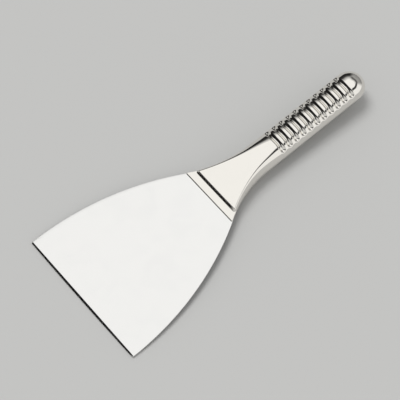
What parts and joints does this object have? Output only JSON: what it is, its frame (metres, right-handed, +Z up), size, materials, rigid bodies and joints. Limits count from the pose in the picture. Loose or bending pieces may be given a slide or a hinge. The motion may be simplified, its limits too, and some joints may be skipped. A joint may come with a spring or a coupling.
{
  "type": "triangular spatula",
  "caption": "All-steel triangular spatula: a flat, polished blade that narrows in a curve to a hollow, round handle with finger grooves pressed across it and a domed butt.",
  "frame": {"origin": "on the table, under the middle of the tool's bounding box, as it lies flat", "axes": "+X along the tool from the cutting edge to the butt of the handle, +Y to the left of that, +Z up; the tool lies as it would on a table, so its own axis rises about 3.2 degrees towards the butt"},
  "size_m": [0.2616, 0.11, 0.0255],
  "materials": {
    "blade_steel": "polished",
    "handle_steel": "polished",
    "weld_steel": "satin"
  },
  "bodies": {
    "root": {"blade": "blade_steel", "upper_shell": "handle_steel", "lower_shell": "handle_steel", "seam_weld": "weld_steel", "tang_spot_welds": "weld_steel"}
  },
  "joints": []
}
